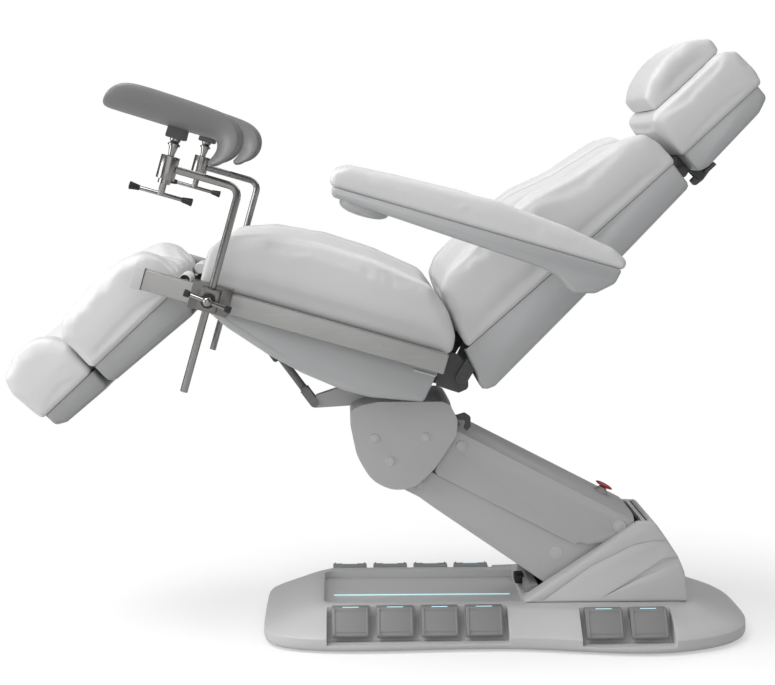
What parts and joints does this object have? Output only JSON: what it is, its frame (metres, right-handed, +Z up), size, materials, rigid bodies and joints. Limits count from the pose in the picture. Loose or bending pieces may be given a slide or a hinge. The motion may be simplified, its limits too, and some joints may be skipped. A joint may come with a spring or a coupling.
{
  "type": "gynecological treatment couch",
  "caption": "Motorised gynaecological couch: upholstered sections on a parallelogram lift, foot pedals and knee crutches.",
  "frame": {"origin": "on the floor under the middle of the couch", "axes": "+X towards the head end, +Y towards the patient's right side, +Z up"},
  "size_m": [1.6628, 0.916, 1.3459],
  "materials": {
    "upholstery": "very light grey artificial leather, matt",
    "shell": "light bluish grey moulded plastic, satin",
    "lift_paint": "mid-light grey paint, satin",
    "pedal_grey": "mid grey plastic, matt",
    "dark_steel": "dark grey paint on steel",
    "bright_steel": "brushed stainless steel",
    "rail": "brushed, slightly warm grey",
    "crutch_foam": "dark grey moulded foam skin",
    "stop_red": "red plastic"
  },
  "bodies": {
    "base": {"base_frame": "dark_steel", "base_cover": "lift_paint", "column_cover": "lift_paint"},
    "lower_arm": {"lower_arm": "lift_paint"},
    "upper_arm": {"upper_arm": "lift_paint"},
    "estop": {"estop_button": "stop_red"},
    "lift_head": {"lift_head": "lift_paint"},
    "lift_drive": {"lift_actuator_body": "dark_steel"},
    "lift_rod": {"lift_actuator_rod": "bright_steel"},
    "seat": {"seat_frame": "dark_steel", "seat_shell": "shell", "seat_cushion": "upholstery", "side_rail_left": "rail", "side_rail_right": "rail"},
    "tilt_drive": {"tilt_actuator_body": "dark_steel"},
    "tilt_rod": {"tilt_actuator_rod": "bright_steel"},
    "back": {"back_frame": "dark_steel", "back_shell": "shell", "back_cushion": "upholstery"},
    "back_drive": {"back_actuator_body": "dark_steel"},
    "back_rod": {"back_actuator_rod": "bright_steel"},
    "leg": {"leg_frame": "dark_steel", "leg_shell": "shell", "leg_cushion": "upholstery"},
    "leg_drive": {"leg_actuator_body": "dark_steel"},
    "leg_rod": {"leg_actuator_rod": "bright_steel"},
    "foot": {"foot_frame": "dark_steel", "foot_shell": "shell", "foot_cushion": "upholstery"},
    "head": {"head_frame": "dark_steel", "head_shell": "shell", "head_cushion": "upholstery", "head_pillow": "upholstery"},
    "head_lever": {"head_lever": "shell"},
    "armrest_left": {"armrest_left": "shell", "arm_pad_left": "upholstery"},
    "armrest_right": {"armrest_right": "shell", "arm_pad_right": "upholstery"},
    "pedal_front_left_1": {"pedal_front_left_1": "pedal_grey"},
    "pedal_front_left_2": {"pedal_front_left_2": "pedal_grey"},
    "pedal_front_left_3": {"pedal_front_left_3": "pedal_grey"},
    "pedal_front_left_4": {"pedal_front_left_4": "pedal_grey"},
    "pedal_front_right_1": {"pedal_front_right_1": "pedal_grey"},
    "pedal_front_right_2": {"pedal_front_right_2": "pedal_grey"},
    "pedal_front_right_3": {"pedal_front_right_3": "pedal_grey"},
    "pedal_front_right_4": {"pedal_front_right_4": "pedal_grey"},
    "pedal_rear_left_1": {"pedal_rear_left_1": "pedal_grey"},
    "pedal_rear_left_2": {"pedal_rear_left_2": "pedal_grey"},
    "pedal_rear_right_1": {"pedal_rear_right_1": "pedal_grey"},
    "pedal_rear_right_2": {"pedal_rear_right_2": "pedal_grey"},
    "rail_clamp_left": {"rail_clamp_left": "bright_steel"},
    "support_rod_left": {"support_rod_left": "bright_steel"},
    "clamp_handle_left": {"clamp_handle_left": "bright_steel"},
    "t_screw_left": {"t_screw_left": "bright_steel"},
    "crutch_left": {"crutch_left": "crutch_foam"},
    "rail_clamp_right": {"rail_clamp_right": "bright_steel"},
    "support_rod_right": {"support_rod_right": "bright_steel"},
    "clamp_handle_right": {"clamp_handle_right": "bright_steel"},
    "t_screw_right": {"t_screw_right": "bright_steel"},
    "crutch_right": {"crutch_right": "crutch_foam"}
  },
  "joints": [
    {"name": "lift", "type": "hinge", "parent": "base", "child": "lower_arm", "pos_m": [0.39, 0, 0.186], "axis": [0, 1, 0], "range_deg": [-28.8, 22.7]},
    {"name": "upper_arm_hinge", "type": "hinge", "parent": "base", "child": "upper_arm", "pos_m": [0.534, 0, 0.25], "axis": [0, 1, 0], "range_deg": [-28.8, 22.7]},
    {"name": "lift_head_hinge", "type": "hinge", "parent": "lower_arm", "child": "lift_head", "pos_m": [0.02389, 0, 0.37496], "axis": [0, 1, 0], "range_deg": [-22.7, 28.8]},
    {"name": "lift_drive_hinge", "type": "hinge", "parent": "lower_arm", "child": "lift_drive", "pos_m": [0.12341, 0, 0.3236], "axis": [0, 1, 0], "range_deg": [-2, 2]},
    {"name": "lift_rod_slide", "type": "slide", "parent": "lift_drive", "child": "lift_rod", "axis": [0.9702, 0, -0.2424], "range_m": [-0.029, 0.036]},
    {"name": "stop_press", "type": "slide", "parent": "upper_arm", "child": "estop", "axis": [-0.4587, 0, -0.8886], "range_m": [0, 0.004], "stiffness_N_per_m": 900, "springref_m": -0.004},
    {"name": "seat_tilt", "type": "hinge", "parent": "lift_head", "child": "seat", "pos_m": [0.03989, 0, 0.56196], "axis": [0, 1, 0], "range_deg": [-16, 4]},
    {"name": "tilt_drive_hinge", "type": "hinge", "parent": "seat", "child": "tilt_drive", "pos_m": [-0.32162, 0, 0.73428], "axis": [0, 1, 0], "range_deg": [-9, 3]},
    {"name": "tilt_rod_slide", "type": "slide", "parent": "tilt_drive", "child": "tilt_rod", "axis": [0.5936, 0, -0.8048], "range_m": [-0.049, 0.014]},
    {"name": "back_recline", "type": "hinge", "parent": "seat", "child": "back", "pos_m": [0.15958, 0, 0.61295], "axis": [0, 1, 0], "range_deg": [0, 57.5]},
    {"name": "back_drive_hinge", "type": "hinge", "parent": "seat", "child": "back_drive", "pos_m": [-0.10974, 0, 0.65689], "axis": [0, 1, 0], "range_deg": [-2, 2]},
    {"name": "back_rod_slide", "type": "slide", "parent": "back_drive", "child": "back_rod", "axis": [0.9436, 0, -0.3311], "range_m": [-0.05, 0.004]},
    {"name": "leg_raise", "type": "hinge", "parent": "seat", "child": "leg", "pos_m": [-0.42937, 0, 0.812], "axis": [0, 1, 0], "range_deg": [-25, 59]},
    {"name": "leg_drive_hinge", "type": "hinge", "parent": "seat", "child": "leg_drive", "pos_m": [-0.12511, 0.11, 0.67585], "axis": [0, 1, 0], "range_deg": [-2, 2]},
    {"name": "leg_rod_slide", "type": "slide", "parent": "leg_drive", "child": "leg_rod", "axis": [-0.9699, 0, 0.2435], "range_m": [-0.026, 0.058]},
    {"name": "foot_slide", "type": "slide", "parent": "leg", "child": "foot", "axis": [-0.7314, 0, -0.682], "range_m": [0, 0.1]},
    {"name": "head_tilt", "type": "hinge", "parent": "back", "child": "head", "pos_m": [0.66645, 0, 1.05872], "axis": [0, 1, 0], "range_deg": [-12, 30]},
    {"name": "head_release", "type": "hinge", "parent": "head", "child": "head_lever", "pos_m": [0.7185, 0, 1.04983], "axis": [0, 1, 0], "range_deg": [-12, 0], "stiffness_Nm_per_rad": 1.2, "springref_deg": 6.88},
    {"name": "armrest_hinge_left", "type": "hinge", "parent": "back", "child": "armrest_left", "pos_m": [0.38856, -0.377, 0.85291], "axis": [0, 1, 0], "range_deg": [-57.5, 0]},
    {"name": "armrest_hinge_right", "type": "hinge", "parent": "back", "child": "armrest_right", "pos_m": [0.38856, 0.377, 0.85291], "axis": [0, 1, 0], "range_deg": [-57.5, 0]},
    {"name": "pedal_front_left_1_press", "type": "hinge", "parent": "base", "child": "pedal_front_left_1", "pos_m": [-0.086, -0.1661, 0.073], "axis": [1, 0, 0], "range_deg": [0, 6], "stiffness_Nm_per_rad": 4, "springref_deg": -9},
    {"name": "pedal_front_left_2_press", "type": "hinge", "parent": "base", "child": "pedal_front_left_2", "pos_m": [0.014, -0.1661, 0.073], "axis": [1, 0, 0], "range_deg": [0, 6], "stiffness_Nm_per_rad": 4, "springref_deg": -9},
    {"name": "pedal_front_left_3_press", "type": "hinge", "parent": "base", "child": "pedal_front_left_3", "pos_m": [0.114, -0.1661, 0.073], "axis": [1, 0, 0], "range_deg": [0, 6], "stiffness_Nm_per_rad": 4, "springref_deg": -9},
    {"name": "pedal_front_left_4_press", "type": "hinge", "parent": "base", "child": "pedal_front_left_4", "pos_m": [0.214, -0.1661, 0.073], "axis": [1, 0, 0], "range_deg": [0, 6], "stiffness_Nm_per_rad": 4, "springref_deg": -9},
    {"name": "pedal_front_right_1_press", "type": "hinge", "parent": "base", "child": "pedal_front_right_1", "pos_m": [-0.086, 0.1661, 0.073], "axis": [-1, 0, 0], "range_deg": [0, 6], "stiffness_Nm_per_rad": 4, "springref_deg": -9},
    {"name": "pedal_front_right_2_press", "type": "hinge", "parent": "base", "child": "pedal_front_right_2", "pos_m": [0.014, 0.1661, 0.073], "axis": [-1, 0, 0], "range_deg": [0, 6], "stiffness_Nm_per_rad": 4, "springref_deg": -9},
    {"name": "pedal_front_right_3_press", "type": "hinge", "parent": "base", "child": "pedal_front_right_3", "pos_m": [0.114, 0.1661, 0.073], "axis": [-1, 0, 0], "range_deg": [0, 6], "stiffness_Nm_per_rad": 4, "springref_deg": -9},
    {"name": "pedal_front_right_4_press", "type": "hinge", "parent": "base", "child": "pedal_front_right_4", "pos_m": [0.214, 0.1661, 0.073], "axis": [-1, 0, 0], "range_deg": [0, 6], "stiffness_Nm_per_rad": 4, "springref_deg": -9},
    {"name": "pedal_rear_left_1_press", "type": "hinge", "parent": "base", "child": "pedal_rear_left_1", "pos_m": [0.48, -0.1939, 0.073], "axis": [1, 0, 0], "range_deg": [0, 6], "stiffness_Nm_per_rad": 4, "springref_deg": -9},
    {"name": "pedal_rear_left_2_press", "type": "hinge", "parent": "base", "child": "pedal_rear_left_2", "pos_m": [0.58, -0.1939, 0.073], "axis": [1, 0, 0], "range_deg": [0, 6], "stiffness_Nm_per_rad": 4, "springref_deg": -9},
    {"name": "pedal_rear_right_1_press", "type": "hinge", "parent": "base", "child": "pedal_rear_right_1", "pos_m": [0.48, 0.1939, 0.073], "axis": [-1, 0, 0], "range_deg": [0, 6], "stiffness_Nm_per_rad": 4, "springref_deg": -9},
    {"name": "pedal_rear_right_2_press", "type": "hinge", "parent": "base", "child": "pedal_rear_right_2", "pos_m": [0.58, 0.1939, 0.073], "axis": [-1, 0, 0], "range_deg": [0, 6], "stiffness_Nm_per_rad": 4, "springref_deg": -9},
    {"name": "clamp_slide_left", "type": "slide", "parent": "seat", "child": "rail_clamp_left", "axis": [0.9613, 0, -0.2756], "range_m": [-0.1, 0.2]},
    {"name": "rod_slide_left", "type": "slide", "parent": "rail_clamp_left", "child": "support_rod_left", "axis": [0.2756, 0, 0.9613], "range_m": [-0.1, 0.1]},
    {"name": "clamp_turn_left", "type": "hinge", "parent": "rail_clamp_left", "child": "clamp_handle_left", "pos_m": [-0.37815, -0.35, 0.79835], "axis": [0, 1, 0], "range_deg": [-45, 45]},
    {"name": "screw_turn_left", "type": "hinge", "parent": "support_rod_left", "child": "t_screw_left", "pos_m": [-0.46472, -0.35, 1.04788], "axis": [0.2756, 0, 0.9613], "range_deg": [-90, 90]},
    {"name": "crutch_swivel_left", "type": "hinge", "parent": "support_rod_left", "child": "crutch_left", "pos_m": [-0.45149, -0.35, 1.09402], "axis": [0.2756, 0, 0.9613], "range_deg": [-40, 40]},
    {"name": "clamp_slide_right", "type": "slide", "parent": "seat", "child": "rail_clamp_right", "axis": [0.9613, 0, -0.2756], "range_m": [-0.1, 0.2]},
    {"name": "rod_slide_right", "type": "slide", "parent": "rail_clamp_right", "child": "support_rod_right", "axis": [0.2756, 0, 0.9613], "range_m": [-0.1, 0.1]},
    {"name": "clamp_turn_right", "type": "hinge", "parent": "rail_clamp_right", "child": "clamp_handle_right", "pos_m": [-0.37815, 0.35, 0.79835], "axis": [0, 1, 0], "range_deg": [-45, 45]},
    {"name": "screw_turn_right", "type": "hinge", "parent": "support_rod_right", "child": "t_screw_right", "pos_m": [-0.46472, 0.35, 1.04788], "axis": [0.2756, 0, 0.9613], "range_deg": [-90, 90]},
    {"name": "crutch_swivel_right", "type": "hinge", "parent": "support_rod_right", "child": "crutch_right", "pos_m": [-0.45149, 0.35, 1.09402], "axis": [0.2756, 0, 0.9613], "range_deg": [-40, 40]}
  ],
  "couplings": [
    {"joint": "upper_arm_hinge", "follows": "lift", "ratio": 1},
    {"joint": "lift_head_hinge", "follows": "lift", "ratio": -1},
    {"joint": "lift_drive_hinge", "follows": "lift", "ratio": -0.05},
    {"joint": "lift_rod_slide", "follows": "lift", "m_per_rad": -0.066},
    {"joint": "tilt_drive_hinge", "follows": "seat_tilt", "ratio": 0.5},
    {"joint": "tilt_rod_slide", "follows": "seat_tilt", "m_per_rad": 0.166},
    {"joint": "back_drive_hinge", "follows": "back_recline", "ratio": 0.01},
    {"joint": "back_rod_slide", "follows": "back_recline", "m_per_rad": -0.043},
    {"joint": "leg_drive_hinge", "follows": "leg_raise", "ratio": 0.01},
    {"joint": "leg_rod_slide", "follows": "leg_raise", "m_per_rad": 0.053},
    {"joint": "armrest_hinge_left", "follows": "back_recline", "ratio": -1},
    {"joint": "armrest_hinge_right", "follows": "back_recline", "ratio": -1}
  ]
}
